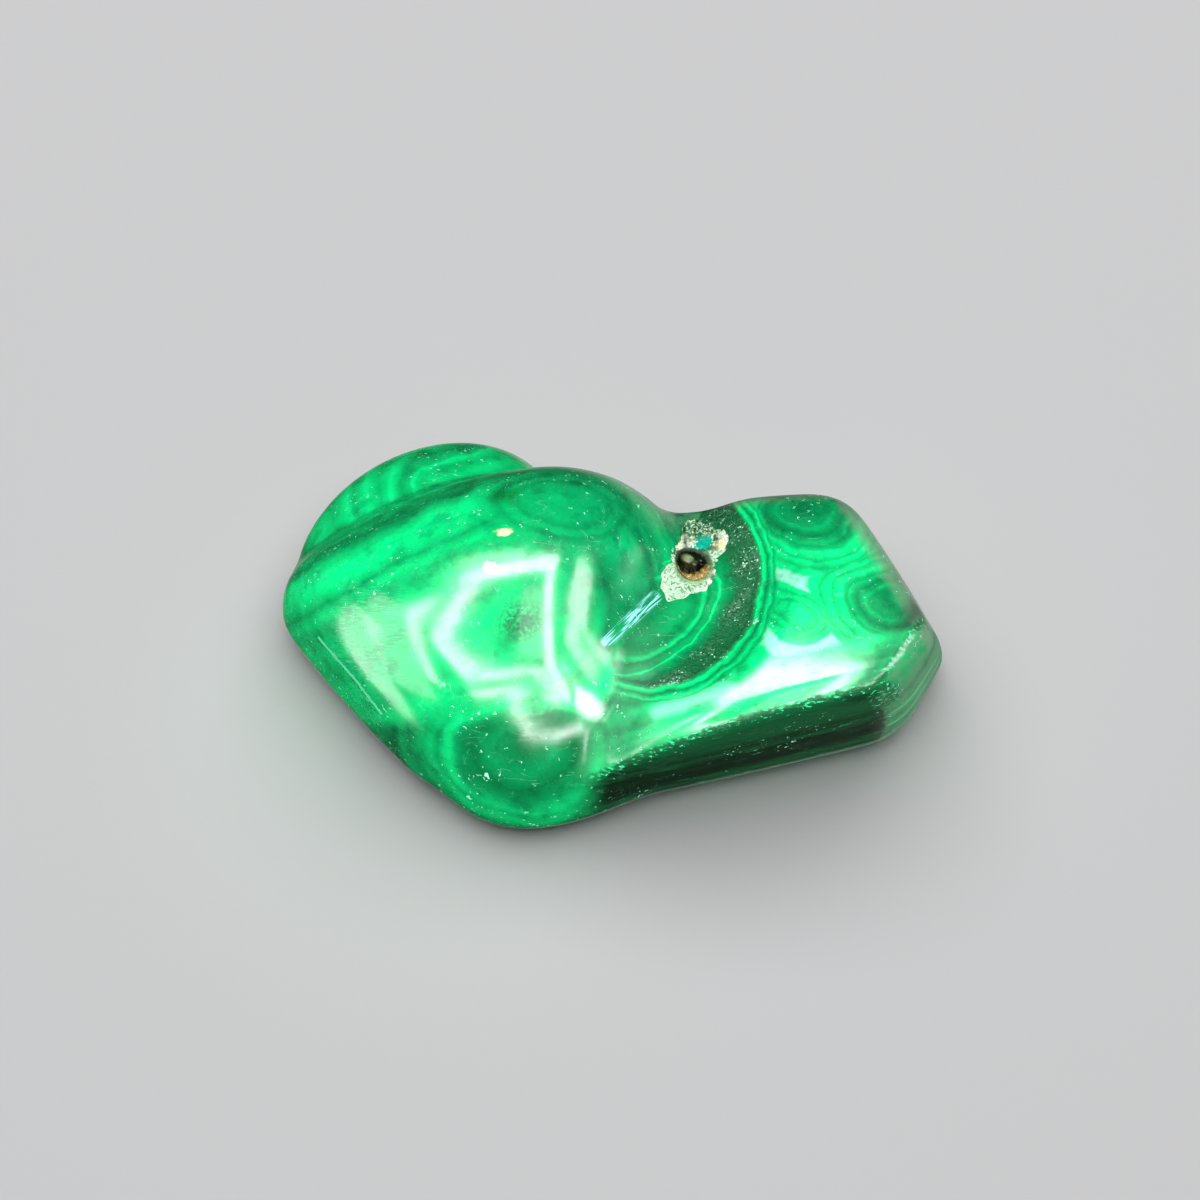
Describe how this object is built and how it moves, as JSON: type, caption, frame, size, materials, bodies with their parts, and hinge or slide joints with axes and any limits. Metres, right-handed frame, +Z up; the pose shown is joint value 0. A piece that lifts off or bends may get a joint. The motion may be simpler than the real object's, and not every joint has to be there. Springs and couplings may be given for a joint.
{
  "type": "polished malachite stone",
  "caption": "Free-form polished malachite stone: rounded dome with lobes behind and in front, a squarish end, and a hollow between dome and end with a small crusted pit.",
  "frame": {"origin": "middle of the footprint's bounding box, in the plane of the resting face", "axes": "+X along the stone's length towards the squarish end, +Y towards the lobe behind the dome, +Z up from the resting face"},
  "size_m": [0.0718, 0.0454, 0.027],
  "materials": {
    "polished_malachite": "polished, banded in light and dark green",
    "weathered_crust": "dull crumbly crust, cream to blue-green, with a brown glossy lining"
  },
  "bodies": {
    "root": {"malachite_stone": "polished_malachite", "pit_crust": "weathered_crust"}
  },
  "joints": []
}
